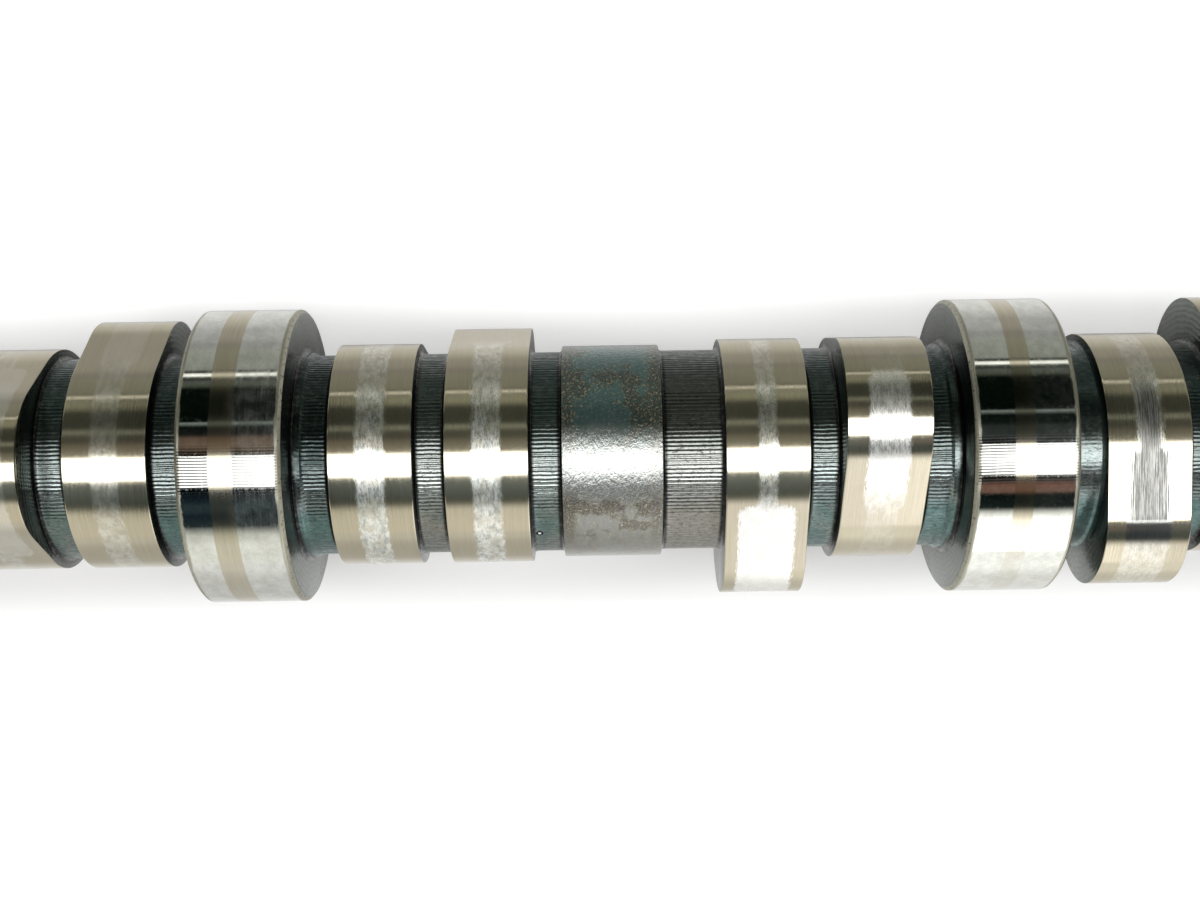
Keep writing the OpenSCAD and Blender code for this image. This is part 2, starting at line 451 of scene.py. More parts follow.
def face_material():
    """Turned side faces, dark satin grey with fine rings about the axis, and painted shade near
    the neck.
    """
    material, tree, shader = new_material("turned_face")
    distance = axis_distance(tree)
    mottle = noise(tree, scaled(tree, 0.4, 0.4, 0.4), 3.0, 0.6)
    fine = noise(tree, scaled(tree, 1.6, 1.6, 1.6), 3.0, 0.6)
    phase = times(tree, distance, 2 * math.pi / (RING_PITCH * MM))
    rings = calc(tree, "SINE", plus(tree, phase, times(tree, mottle, 6.0)))
    color = blend(tree, mottle, (0.118, 0.132, 0.120), (0.225, 0.242, 0.218))
    color = blend(tree, span(tree, rings, -1.0, 1.0, 0.25, 0.0), color, (0.05, 0.055, 0.05))
    # Painted shade: the faces darken to near black towards the neck, with a ragged edge.
    neck_shade_reach = plus(tree, distance, times(tree, fine, 0.003))
    color = blend(tree, span(tree, neck_shade_reach, 0.0205, 0.0185), color, (0.035, 0.042, 0.038))
    rough = span(tree, fine, 0.3, 0.7, 0.15, 0.26)
    height = plus(tree, rings, times(tree, fine, 0.8))
    finish_shader(tree, shader, color, rough, bump(tree, height, 0.6, 0.014))
    return material


def end_material():
    """Turned steel of the gear's seat and the two ends."""
    material, tree, shader = new_material("turned_end")
    mottle = noise(tree, scaled(tree, 0.3, 0.3, 0.3), 3.0, 0.6)
    grooves = noise(tree, scaled(tree, 5.0, 0.15, 0.15), 3.0, 0.6)
    color = blend(tree, mottle, (0.36, 0.36, 0.34), (0.50, 0.495, 0.47))
    color = blend(tree, span(tree, grooves, 0.45, 0.65, 0.0, 0.4), color, (0.27, 0.265, 0.245))
    rough = span(tree, mottle, 0.3, 0.7, 0.22, 0.32)
    finish_shader(tree, shader, color, rough, bump(tree, grooves, 0.35, 0.012))
    return material


def lobe_colors(tree, tip, grain):
    """Colours of a lobe where it is plain and where it is worn."""
    broad = noise(tree, scaled(tree, 0.12, 0.12, 0.12), 2.0, 0.5)
    blotches = noise(tree, scaled(tree, 1.1, 0.6, 0.6), 4.0, 0.7)
    olive = blend(tree, broad, (0.50, 0.45, 0.335), (0.62, 0.57, 0.445))
    olive = blend(tree, span(tree, grain, 0.35, 0.65, 0.0, 0.2), olive, (0.40, 0.365, 0.27))
    worn = blend(tree, span(tree, blotches, 0.33, 0.57), (0.48, 0.53, 0.51), (0.98, 0.985, 0.935))
    return olive, blend(tree, tip, worn, (0.97, 0.965, 0.93))


def draw_scuffs(tree, color, track):
    """Draws the scuffs and the polished strip beside them over a lobe's colour. Also
    gives where the scuffs are."""
    scratches = noise(tree, scaled(tree, 8.0, 0.16, 0.16), 3.0, 0.65)
    ragged = times(tree, minus(tree, scratches, 0.5), 4.0)
    scuffed = span(tree, plus(tree, read(tree, "across"), ragged), 0.1, -1.1)
    scuffed = times(tree, scuffed, read(tree, "seed"))
    bare = span(tree, scratches, 0.44, 0.58)
    scored = blend(tree, bare, (0.06, 0.06, 0.056), (0.29, 0.29, 0.275))
    color = blend(tree, times(tree, scuffed, 0.9), color, scored)
    glossy = times(tree, track, read(tree, "gloss"))
    return blend(tree, times(tree, glossy, 0.8), color, (0.25, 0.25, 0.26)), scuffed


def lobe_material():
    """Ground lobe: olive-grey grain with a pale, frosted roller track."""
    material, tree, shader = new_material("ground_lobe", 0.975)
    tip = read(tree, "nose")
    grain = noise(tree, scaled(tree, 4.0, 0.10, 0.10), 4.0, 0.65)
    flecks = noise(tree, scaled(tree, 3.2, 0.8, 0.8), 3.0, 0.7)
    mottle = noise(tree, scaled(tree, 0.5, 0.4, 0.4), 4.0, 0.65)
    wander = times(tree, minus(tree, flecks, 0.5), 1.8)
    track = span(tree, plus(tree, read(tree, "across"), wander), 0.25, -0.35)
    clear = times(tree, track, read(tree, "wear"))
    olive, worn = lobe_colors(tree, tip, grain)
    spread = level(tree, tip, span(tree, mottle, 0.38, 0.6, 0.45, 0.95),
                   span(tree, mottle, 0.35, 0.6, 0.85, 1.0))
    color = blend(tree, times(tree, clear, spread), olive, worn)
    color, scuffed = draw_scuffs(tree, color, track)
    frosted = plus(tree, span(tree, flecks, 0.3, 0.7, 0.22, 0.34), times(tree, scuffed, 0.16))
    frosted = level(tree, read(tree, "gloss"), frosted, 0.07)
    rough = level(tree, clear, span(tree, grain, 0.3, 0.7, 0.10, 0.16), frosted)
    flecked = times(tree, clear, level(tree, tip, 1.6, 0.7))
    height = plus(tree, grain, times(tree, flecks, flecked))
    finish_shader(tree, shader, color, rough, bump(tree, height, 0.5, 0.02))
    return material


def neck_color(tree, fine, grit):
    """Blue-green or brown steel. Its upper side is darkened as painted shade, more on some necks,
    its fillets are darkened as painted shade, and a painted highlight runs along its top.
    """
    seed = read(tree, "seed")
    patches = noise(tree, scaled(tree, 0.10, 0.10, 0.10), 3.0, 0.55)
    teal = blend(tree, fine, (0.055, 0.115, 0.11), (0.14, 0.215, 0.205))
    brown = blend(tree, fine, (0.17, 0.16, 0.135), (0.34, 0.33, 0.295))
    tone = plus(tree, seed, minus(tree, patches, 0.5))
    color = blend(tree, span(tree, tone, 0.2, 0.75), teal, brown)
    # Painted highlight: a lighter strip along the top, where the soft box's highlight falls.
    polish_and_highlight = span(tree, axis_cosine(tree, HIGHLIGHT_TURN), 0.86, 0.99, 0.0, 0.45)
    color = blend(tree, polish_and_highlight, color, (0.62, 0.64, 0.62))
    # Painted shade: the upper side is darkened by its direction about the axis.
    upper = axis_cosine(tree, UPPER_SIDE_TURN)
    color = blend(tree, span(tree, upper, 0.30, 0.90, 0.0, 0.72), color, (0.03, 0.045, 0.042))
    # More painted shade on the upper side, as much as each neck is given.
    extra_upper_shade = times(tree, span(tree, upper, -0.1, 0.7), read(tree, "wear"))
    color = blend(tree, extra_upper_shade, color, (0.02, 0.034, 0.032))
    color = blend(tree, span(tree, grit, 0.52, 0.66, 0.0, 0.65), color, (0.02, 0.022, 0.018))
    # Painted shade: the fillets next to the faces are darkened to near black.
    fillet = times(tree, span(tree, read(tree, "across"), 0.95, 0.45), span(tree, seed, 0.0, 0.08))
    return blend(tree, fillet, color, (0.012, 0.014, 0.013))


def draw_pit_shade_and_glint(tree, color):
    """Draws the pit as painted black shade, with a painted glint in it. Also gives the distance
    from its middle.
    """
    middle = [c * MM for c in PIT]
    away = vector(tree, "DISTANCE", {0: object_place(tree), 1: middle}, "Value")
    color = blend(tree, span(tree, away, *PIT_SHADE_RIM), color, (0.002, 0.002, 0.002))
    return blend(tree, span(tree, away, *PAINTED_GLINT_RIM), color, (0.95, 0.95, 0.95)), away


def neck_material():
    """Oily, ribbed neck: blue-green black with brown patches, with painted shade in the fillets
    and on the upper side and a painted highlight along the top.
    """
    material, tree, shader = new_material("dark_neck", 0.92)
    fine = noise(tree, scaled(tree, 1.2, 1.2, 1.2), 3.0, 0.6)
    grit = noise(tree, scaled(tree, 1.3, 3.4, 3.4), 3.0, 0.7)
    drops = noise(tree, scaled(tree, 0.9, 1.3, 1.3), 1.0, 0.5)
    color, from_pit = draw_pit_shade_and_glint(tree, neck_color(tree, fine, grit))
    coat = span(tree, drops, 0.52, 0.62, 0.1, 0.5)
    coat = times(tree, coat, span(tree, from_pit, *PIT_SHADE_RIM[::-1]))
    tree.links.new(coat, shader.inputs["Coat Weight"])
    shader.inputs["Coat IOR"].default_value = 1.65
    shader.inputs["Coat Roughness"].default_value = 0.06
    normal = bump(tree, grit, 0.5, 0.018)
    tree.links.new(bump(tree, drops, 1.0, 0.08, normal), shader.inputs["Coat Normal"])
    finish_shader(tree, shader, color, span(tree, fine, 0.3, 0.7, 0.14, 0.27), normal)
    return material


def rust_mask(tree, patches, speckle):
    """Where rust shows on a middle section: along its rims and in patches."""
    near_rim = span(tree, calc(tree, "ABSOLUTE", read(tree, "across")), 0.60, 0.85)
    upper = span(tree, axis_cosine(tree, UPPER_SIDE_TURN + 25), -0.2, 0.6, 0.45, 1.0)
    rusty = calc(tree, "MAXIMUM", near_rim, span(tree, patches, 0.49, 0.58))
    rusty = times(tree, times(tree, rusty, upper), 0.17)
    return span(tree, plus(tree, speckle, rusty), 0.58, 0.66)


def middle_material():
    """Blued middle section with rust speckles along its rims and in patches, and a painted
    highlight along its top.
    """
    material, tree, shader = new_material("blued_middle", 0.80)
    patches = noise(tree, scaled(tree, 0.15, 0.14, 0.14), 3.0, 0.6)
    speckle = noise(tree, scaled(tree, 3.0, 3.0, 3.0), 4.0, 0.8)
    streaks = noise(tree, scaled(tree, 1.4, 0.12, 0.12), 3.0, 0.6)
    lumps = noise(tree, scaled(tree, 2.0, 1.2, 1.2), 4.0, 0.7)
    rust = rust_mask(tree, patches, speckle)
    grey = blend(tree, streaks, (0.23, 0.237, 0.218), (0.30, 0.304, 0.282))
    grey = blend(tree, span(tree, patches, 0.45, 0.6, 0.0, 0.4), grey, (0.255, 0.235, 0.205))
    blue = blend(tree, streaks, (0.055, 0.115, 0.115), (0.12, 0.20, 0.19))
    blued = plus(tree, axis_cosine(tree, UPPER_SIDE_TURN), minus(tree, patches, 0.5))
    color = blend(tree, span(tree, blued, 0.42, 0.80), grey, blue)
    brown = blend(tree, span(tree, speckle, 0.50, 0.68), (0.04, 0.038, 0.03), (0.62, 0.55, 0.38))
    color = blend(tree, times(tree, rust, 0.9), color, brown)
    # Painted highlight: a lighter strip along the top, where the soft box's highlight falls.
    polish_and_highlight = span(tree, axis_cosine(tree, HIGHLIGHT_TURN), 0.93, 0.99, 0.0, 0.6)
    polish_and_highlight = times(tree, polish_and_highlight, span(tree, rust, 0.0, 1.0, 1.0, 0.85))
    color = blend(tree, polish_and_highlight, color, (0.66, 0.68, 0.66))
    rough = level(tree, rust, span(tree, speckle, 0.35, 0.65, 0.08, 0.14), 0.22)
    shader.inputs["Coat Weight"].default_value = 0.5
    shader.inputs["Coat Roughness"].default_value = 0.08
    normal = bump(tree, lumps, 1.0, 0.10, bump(tree, speckle, 0.9, 0.02))
    tree.links.new(normal, shader.inputs["Coat Normal"])
    finish_shader(tree, shader, color, rough, normal)
    return material


def floor_seen(tree, x, y, away):
    """How much the floor glows for the camera, by the place in metres: less in the
    shaft's shadow."""
    from_middle = calc(tree, "ABSOLUTE", minus(tree, x, SHAFT_MIDDLE * MM))
    past_end = calc(tree, "MAXIMUM", minus(tree, from_middle, SHAFT_HALF * MM), 0.0)
    apart = put(tree, "ShaderNodeCombineXYZ", {0: away, 1: past_end}).outputs[0]
    clear = span(tree, vector(tree, "LENGTH", {0: apart}, "Value"), *SHADOW_EDGE)
    return level(tree, clear, span(tree, y, -0.01, 0.01, *SHADOW_GLOW), FLOOR_GLOW)


def floor_mirrored(tree, x, y, away):
    """How bright the floor is in the metal, by the place in metres: one way on the
    near side of the shaft and another on the far side."""
    near_side = level(tree, span(tree, x, 0.27, 0.38), span(tree, away, 0.06, 0.32, 0.60, 0.82),
                      span(tree, away, 0.05, 0.14, 0.82, 1.20))
    far_side = minus(tree, span(tree, away, 0.03, 0.11, 0.80, 0.44),
                     span(tree, away, 0.08, 0.40, 0.0, 0.13))
    return level(tree, span(tree, y, -0.01, 0.01), near_side, far_side)


def floor_material():
    """Pale floor. Seen directly it is white beside the shadow, and in the metal its
    far parts carry on the light of the room."""
    material = bpy.data.materials.new("pale_floor")
    material.use_nodes = True
    tree = material.node_tree
    shader = tree.nodes["Principled BSDF"]
    place = object_place(tree)
    color = blend(tree, noise(tree, place), (0.75, 0.75, 0.75), (0.78, 0.78, 0.78))
    tree.links.new(color, shader.inputs["Base Color"])
    shader.inputs["Roughness"].default_value = 1.0
    shader.inputs["Specular IOR Level"].default_value = 0.0
    path = put(tree, "ShaderNodeLightPath").outputs
    x, y, _ = put(tree, "ShaderNodeSeparateXYZ", {0: place}).outputs
    away = calc(tree, "ABSOLUTE", y)
    glow = times(tree, path["Is Camera Ray"], floor_seen(tree, x, y, away))
    seen = put(tree, "ShaderNodeEmission", {"Color": (1, 1, 1, 1), "Strength": glow})
    lit = put(tree, "ShaderNodeAddShader", {0: shader.outputs[0], 1: seen.outputs[0]})
    mirrored = put(tree, "ShaderNodeEmission",
                   {"Color": (1, 1, 0.97, 1), "Strength": floor_mirrored(tree, x, y, away)})
    mask = times(tree, path["Is Glossy Ray"], span(tree, away, 0.026, 0.05))
    mixed = put(tree, "ShaderNodeMixShader", {0: mask, 1: lit.outputs[0], 2: mirrored.outputs[0]})
    tree.links.new(mixed.outputs[0], tree.nodes["Material Output"].inputs["Surface"])
    return material


# ---- Mesh helpers -----------------------------------------------------------

def make_mesh(name, points, faces, numbers, materials, face_slots, sharp=32):
    mesh = bpy.data.meshes.new(name)
    mesh.from_pydata((np.asarray(points) * MM).tolist(), [], faces)
    for key, values in numbers.items():
        layer = mesh.attributes.new(key, "FLOAT", "POINT")
        layer.data.foreach_set("value", np.asarray(values, np.float32))
    for material in materials:
        mesh.materials.append(material)
    mesh.polygons.foreach_set("material_index", np.asarray(face_slots, np.int32))
    mesh.polygons.foreach_set("use_smooth", np.ones(len(faces), bool))
    mesh.update()
    mesh.set_sharp_from_angle(angle=math.radians(sharp))
    return mesh


class Shell:
    """Collects closed ring-by-ring solids into one mesh."""

    def __init__(self):
        self.points, self.faces, self.slots = [], [], []
        self.numbers = {name: [] for name in MESH_NUMBERS}

    def add(self, rings, slots, **numbers):
        """rings is [ring][point][xyz]. slots has one material for each band between
        rings, and the first and last also serve for the two end caps. numbers are
        for the whole solid, for each ring, or for each point of a ring or of all."""
        rings = np.asarray(rings, float)
        count, steps = rings.shape[:2]
        first = sum(len(p) for p in self.points)
        centres = np.stack([rings[0].mean(0), rings[-1].mean(0)])
        self.points.append(np.concatenate([rings.reshape(-1, 3), centres]))
        index = first + np.arange(count * steps).reshape(count, steps)
        following = np.roll(index, -1, axis=1)
        for i in range(count - 1):
            quads = np.stack([index[i], following[i], following[i + 1], index[i + 1]], 1)
            self.faces += quads.tolist()
            self.slots += [slots[i]] * steps
        start, end = first + count * steps, first + count * steps + 1
        self.faces += [(start, b, a) for a, b in zip(index[0].tolist(), following[0].tolist())]
        self.faces += [(end, a, b) for a, b in zip(index[-1].tolist(), following[-1].tolist())]
        self.slots += [slots[0]] * steps + [slots[-1]] * steps
        for key, stored in self.numbers.items():
            value = np.asarray(numbers.get(key, 0.0), float)
            if value.shape == (count,):
                value = value[:, None]
            value = np.broadcast_to(value, (count, steps))
            stored.append(np.concatenate([value.reshape(-1), [value[0, 0], value[-1, 0]]]))

    def piece(self, name, materials, sharp=32):
        numbers = {k: np.concatenate(v) for k, v in self.numbers.items()}
        mesh = make_mesh(name, np.concatenate(self.points), self.faces, numbers,
                         materials, self.slots, sharp)
        piece = bpy.data.objects.new(name, mesh)
        bpy.context.scene.collection.objects.link(piece)
        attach(piece, "root")
        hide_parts("camshaft")
        return piece


def full_turn(steps):
    """Angles in radians, evenly round the axis."""
    return np.arange(steps) * 2 * math.pi / steps


def circle_rings(outline, steps):
    """Rings about the X axis, from an outline of (x, radius) points."""
    turn = full_turn(steps)
    return np.array([[(x, r * math.cos(a), r * math.sin(a)) for a in turn] for x, r in outline])


def fillet(x, r, f, steps):
    """(x, radius) points from the face at x down to the neck of radius r behind it."""
    turns = np.linspace(0, math.pi / 2, steps)
    return [(x + f * (1 - math.cos(a)), r + f * (1 - math.sin(a))) for a in turns]


def inner_steps(x0, x1, count):
    """The places that divide x0 to x1 into equal steps, without the two ends."""
    return np.linspace(x0, x1, count + 1)[1:-1].tolist()


def both_sides(rows, middle):
    """Rows of (x, ...) from one edge, the middle, and the same rows mirrored."""
    return rows + middle + [(-x, *rest) for x, *rest in rows[::-1]]


# ---- Pieces -----------------------------------------------------------------

def journal_outline():
    """(x, radius) points across a journal, and the material of each band between them."""
    h, r, c, edge = JOURNAL_W / 2, JOURNAL_R, JOURNAL_CHAMFER, JOURNAL_EDGE
    side = [(-h, NECK_R - 1), (-h, r - c - edge), (-h + edge * 0.4, r - c + edge * 0.2),
            (-h + c - edge, r - edge * 0.6), (-h + c + edge, r), (-h + c + edge + EDGE_HOLD, r)]
    outline = both_sides(side, [(x, r) for x in inner_steps(-h + c + edge, h - c - edge, 8)])
    return outline, [2, 2, 1, 0] + [0] * (len(outline) - 9) + [0, 1, 2, 2]


def make_journals(ground, rim, face):
    shell = Shell()
    outline, slots = journal_outline()
    turn = np.degrees(full_turn(JOURNAL_STEPS))
    half = 180 / CHATTER_PATCHES
    from_patch = np.abs((turn - CHATTER_HIGHLIGHT_TURN + half) % (2 * half) - half)
    for i, haze in enumerate(JOURNAL_HAZE):
        placed = [(x + journal_x(i), r) for x, r in outline]
        chatter = np.interp(from_patch, CHATTER_EDGES, (CHATTER_MIDDLES[i], 1, 1, 0))
        kept = np.interp(turn, FADED_TURNS, (1, FADED_STRIPES[i], FADED_STRIPES[i], 1))
        shift = np.interp(turn, SHIFT_TURNS, STRIPE_SHIFTS.get(i, (0, 0, 0, 0)))
        shell.add(circle_rings(placed, JOURNAL_STEPS), slots, across=[x for x, _ in outline],
                  nose=chatter, seed=haze, wear=kept, shift=shift)
    return shell.piece("journals", [ground, rim, face])


def arc(x, r, start, end, steps):
    """(y, z) points of an arc about (x, 0)."""
    return [(x + r * math.cos(a), r * math.sin(a)) for a in np.linspace(start, end, steps)]


def flank(start, end):
    """Points from start to end, without those two."""
    steps = inner_steps(0, 1, FLANK_STEPS)
    return [tuple(np.array(start) * (1 - t) + np.array(end) * t) for t in steps]


def lobe_outline(inset):
    """(y, z) points round a lobe with its nose towards +Y, and how far along the
    outline each point is from the tip, less than 0 on one side of it."""
    turn = FLANK_TURN
    tip = arc(NOSE_X, NOSE_R - inset, -turn, turn, NOSE_STEPS)
    back = arc(0, BASE_R - inset, turn, 2 * math.pi - turn, BASE_STEPS)
    points = np.array(tip + flank(tip[-1], back[0]) + back + flank(back[-1], tip[0]))
    steps = np.hypot(*(np.roll(points, -1, axis=0) - points).T)
    along = np.concatenate([[0], np.cumsum(steps)[:-1]])
    along -= along[NOSE_STEPS - 1] / 2
    total = steps.sum()
    return points, (along + total / 2) % total - total / 2


def track_distance(across, along, base_half, nose_half, start, end):
    """Distance in millimetres to the edge of the worn area, less than 0 inside: the
    track on the base circle, joined with a patch with rounded corners on the nose."""
    corner = min(PATCH_CORNER, nose_half)
    beyond_x = np.abs(across) - nose_half + corner
    beyond_s = np.abs(along - (start + end) / 2) - (end - start) / 2 + corner
    outside = np.hypot(np.maximum(beyond_x, 0), np.maximum(beyond_s, 0))
    patch = outside + np.minimum(np.maximum(beyond_x, beyond_s), 0) - corner
    return np.minimum(patch, np.abs(across) - base_half)


def lobe_numbers(wear, along, facing):
    """What a lobe's mesh carries for its row of wear, by the place along its outline
    in millimetres and by the direction in degrees."""
    _, _, start, end, track_cover, nose_cover, scuff = wear
    # Beside a faint track the patch on the nose fades out over a longer way.
    fade = 2 + 5 * (1 - track_cover)
    on_nose = np.interp(along, (start - 1, start + 1, end - fade, end + 1), (0, 1, 1, 0))
    cover = track_cover + (nose_cover - track_cover) * on_nose
    # Painted shade: the track is made fainter on the far side.
    cover = cover * np.interp(facing, *FAINT_TRACK)
    if scuff:
        cover = cover * np.interp(along, *SCUFFED_TRACK)
        on_nose = on_nose * np.interp(along, *SCUFFED_NOSE)
    return {"nose": on_nose, "wear": cover,
            "seed": scuff * np.interp(along, SCUFF_SPAN, (0, 1, 1, 0)),
            "gloss": scuff * np.interp(along, GLOSS_SPAN, (0, 1, 1, 0))}


def make_lobes(ground, face):
    shell = Shell()
    h, edge = LOBE_W / 2, LOBE_EDGE
    side = [(-h, edge), (-h + edge * 0.3, edge * 0.3), (-h + edge, 0.0),
            (-h + edge + EDGE_HOLD, 0.0)]
    rows = both_sides(side, [(x, 0.0) for x in inner_steps(-h + edge, h - edge, 17)])
    slots = [1] + [0] * (len(rows) - 3) + [1]
    for b in range(JOURNALS - 1):
        for s, lobe_x in enumerate(LOBE_XS):
            wear = LOBE_WEAR.get((b, s), PLAIN_WEAR)
            phase = math.radians(lobe_phase(b, s))
            cos, sin = math.cos(phase), math.sin(phase)
            turn = np.array([[cos, -sin], [sin, cos]])
            rings, tracks = [], []
            for x, inset in rows:
                points, along = lobe_outline(inset)
                xs = np.full(len(points), bay_x(b) + lobe_x + x)
                rings.append(np.column_stack([xs, points @ turn.T]))
                tracks.append(track_distance(x, along, *wear[:4]))
            facing = np.degrees(np.arctan2(rings[0][:, 2], rings[0][:, 1]))
            shell.add(rings, slots, across=np.array(tracks), **lobe_numbers(wear, along, facing))
    return shell.piece("lobes", [ground, face])


def bay_faces(b):
    """The twelve faces that the necks of bay b run between, as (x, kind)."""
    middle, h = bay_x(b), LOBE_W / 2
    lobes = [(middle + x + side, "lobe") for x in LOBE_XS for side in (-h, h)]
    return ([(journal_x(b) + JOURNAL_W / 2, "journal")] + lobes[:4]
            + [(middle + MIDDLE_FRONT_X, "middle"), (middle + MIDDLE_REAR_X, "middle")]
            + lobes[4:] + [(journal_x(b + 1) - JOURNAL_W / 2, "journal")])


def neck_outlines(b):
    """The six necks of bay b: a list of (x, radius, rib height) rows for each."""
    faces = bay_faces(b)
    necks = []
    for (x0, kind0), (x1, kind1) in zip(faces[::2], faces[1::2]):
        front = neck_end(x0, kind0)
        rear = [(x0 + x1 - x, r, a) for x, r, a in neck_end(x0, kind1)][::-1]
        between = inner_steps(front[-1][0], rear[0][0], 5)
        necks.append(front + [(x, NECK_R, 1.0) for x in between] + rear)
    return necks


def neck_end(x, kind):
    """Rows from just inside the face at x out to the plain neck behind it."""
    if kind == "journal":
        end, step = x + SHOULDER_W, SHOULDER_R - NECK_R
        rows = [(px, pr, 0.0) for px, pr in fillet(x, SHOULDER_R, FILLET_R, 5)]
        rows += [(end, SHOULDER_R, 0.25), (end + 0.12, SHOULDER_R - 0.08, 0.5),
                 (end + step, NECK_R + 0.05, 0.9), (end + step + 0.2, NECK_R, 1.0)]
    else:
        radius, ribs = NECK_FILLETS[kind]
        points = fillet(x, NECK_R, radius, len(ribs))
        rows = [(px, pr, a) for (px, pr), a in zip(points, ribs)]
    return [(x - SUNK, rows[0][1], 0.0)] + rows


def make_necks(b, material, looks):
    """The six necks of bay b. Their ribs wander with the place along the shaft and
    round it."""
    shell = Shell()
    turn = full_turn(RIBS * RIB_STEPS)
    random = np.random.default_rng(100 + b)
    for rows, (strength, tone, upper_shade_amount) in zip(neck_outlines(b), looks):
        depth = np.repeat(1 - RIB_VARIETY + RIB_VARIETY * random.random(RIBS), RIB_STEPS)
        drift = random.random() * RIB_DRIFT
        rings = []
        for x, r, amount in rows:
            wave = RIB_SWAY * np.sin(x * 1.9 + drift + 3 * np.sin(turn * 7)) * amount
            ribs = 0.5 * (np.cos(RIBS * turn + wave) - 1)
            radius = r + RIB_HEIGHT * strength * amount * depth * ribs
            ring = [np.full(len(turn), x), radius * np.cos(turn), radius * np.sin(turn)]
            rings.append(np.column_stack(ring))
        xs = np.array([x for x, _, _ in rows])
        from_face = np.minimum(xs - xs[0], xs[-1] - xs) - SUNK
        shell.add(rings, [0] * (len(rings) - 1), across=from_face, seed=tone, wear=upper_shade_amount)
    return shell.piece("necks_bay_%d" % (b + 1), [material], sharp=60)


def make_middles(material, face):
    shell = Shell()
    h = (MIDDLE_REAR_X - MIDDLE_FRONT_X) / 2
    c = (MIDDLE_R - NECK_R) / 4
    side = [(-h, NECK_R - 1), (-h, MIDDLE_R - c), (-h + c * 0.3, MIDDLE_R - c * 0.3),
            (-h + c, MIDDLE_R)]
    outline = both_sides(side, [(x, MIDDLE_R) for x in inner_steps(-h + c, h - c, 6)])
    slots = [1] + [0] * (len(outline) - 3) + [1]
    for b in range(JOURNALS - 1):
        middle = bay_x(b) + (MIDDLE_FRONT_X + MIDDLE_REAR_X) / 2
        placed = [(x + middle, r) for x, r in outline]
        shell.add(circle_rings(placed, ROUND_STEPS), slots, across=[x / h for x, _ in outline])
    return shell.piece("middle_sections", [material, face])


def end_outline(x0, x1, seat_r, collar=()):
    """Outline of an end, from the centre hole in its face at x0 to x1, inside the
    nearest journal. collar is empty, or the place of its face and its radius."""
    s = 1 if x1 > x0 else -1
    cone = (CENTRE_R - PILOT_R) / math.tan(math.radians(CENTRE_CONE / 2))
    outline = [(x0 + s * (cone + CENTRE_R), PILOT_R), (x0 + s * cone, PILOT_R),
               (x0, CENTRE_R), (x0, seat_r - END_CHAMFER), (x0 + s * END_CHAMFER, seat_r)]
    if collar:
        x, r = collar
        outline += [(x, seat_r), (x, r - COLLAR_EDGE), (x + s * COLLAR_EDGE, r)]
    return outline + [(x1, outline[-1][1])]


def make_ends(seat, face):
    shell = Shell()
    h = JOURNAL_W / 2
    front = end_outline(FRONT_X, -h + 1, GEAR_SEAT_R, (-h - THRUST_GAP, COLLAR_R))
    rear = end_outline(REAR_X, journal_x(JOURNALS - 1) + h - 1, NECK_R)
    shell.add(circle_rings(front, ROUND_STEPS), [1, 1, 1, 0, 0, 1, 0, 0])
    shell.add(circle_rings(rear, ROUND_STEPS)[:, ::-1], [1, 1, 1, 0, 0])
    return shell.piece("shaft_ends", [seat, face])


# ---- Floor and light --------------------------------------------------------

def make_floor():
    mesh = bpy.data.meshes.new("floor")
    s, z = FLOOR_HALF, cad_box[0][2]
    mesh.from_pydata([(-s, -s, z), (s, -s, z), (s, s, z), (-s, s, z)], [], [(0, 1, 2, 3)])
    mesh.materials.append(floor_material())
    floor = bpy.data.objects.new("floor", mesh)
    bpy.context.scene.collection.objects.link(floor)


def make_key():
    """A long soft box over the near side of the shaft."""
    y0, y1 = (-KEY_HEIGHT * math.tan(math.radians(angle)) for angle in KEY_ANGLES)
    data = bpy.data.lights.new("soft_box", "AREA")
    data.shape = "RECTANGLE"
    data.size, data.size_y = KEY_LENGTH, abs(y1 - y0)
    data.energy = KEY_RADIANCE * math.pi * data.size * data.size_y
    light = bpy.data.objects.new("soft_box", data)
    light.location = (CAMERA_X * MM, (y0 + y1) / 2, KEY_HEIGHT)
    light.visible_camera = False
    bpy.context.scene.collection.objects.link(light)


# Colours that the metal mirrors, by the angle in degrees about the shaft's axis,
# from straight up towards the near side: pale walls, a dark ceiling and two
# window strips. The room has three kinds of length: one that the photo's front
# journal mirrors, one for its rear journal, and one for the bays.
FAR_WALL = ((-180, 0.40, 0.40, 0.38), (-90, 0.32, 0.33, 0.295), (-70, 0.26, 0.27, 0.235),
            (-68.6, 0.04, 0.04, 0.035), (-66.6, 0.04, 0.04, 0.035), (-66.0, 1.25, 1.25, 1.15),
            (-64.0, 1.25, 1.25, 1.15), (-63.2, 0.03, 0.035, 0.03))
FAR_SIDE = FAR_WALL + (
    (-60.5, 0.05, 0.055, 0.045), (-59, 0.09, 0.10, 0.085), (-56, 0.07, 0.08, 0.06),
    (-53, 0.002, 0.004, 0.003), (-26.5, 0.001, 0.003, 0.002), (-25.8, 0.20, 0.23, 0.21),
    (-24.4, 0.20, 0.23, 0.21), (-23.6, 0.002, 0.004, 0.003))
BAY_FAR_SIDE = FAR_WALL + (
    (-61, 0.30, 0.31, 0.25), (-54, 0.36, 0.37, 0.29), (-48, 0.05, 0.055, 0.043),
    (-30, 0.035, 0.04, 0.03), (-28, 0.30, 0.32, 0.27), (-25, 0.30, 0.32, 0.27),
    (-23, 0.07, 0.075, 0.06))
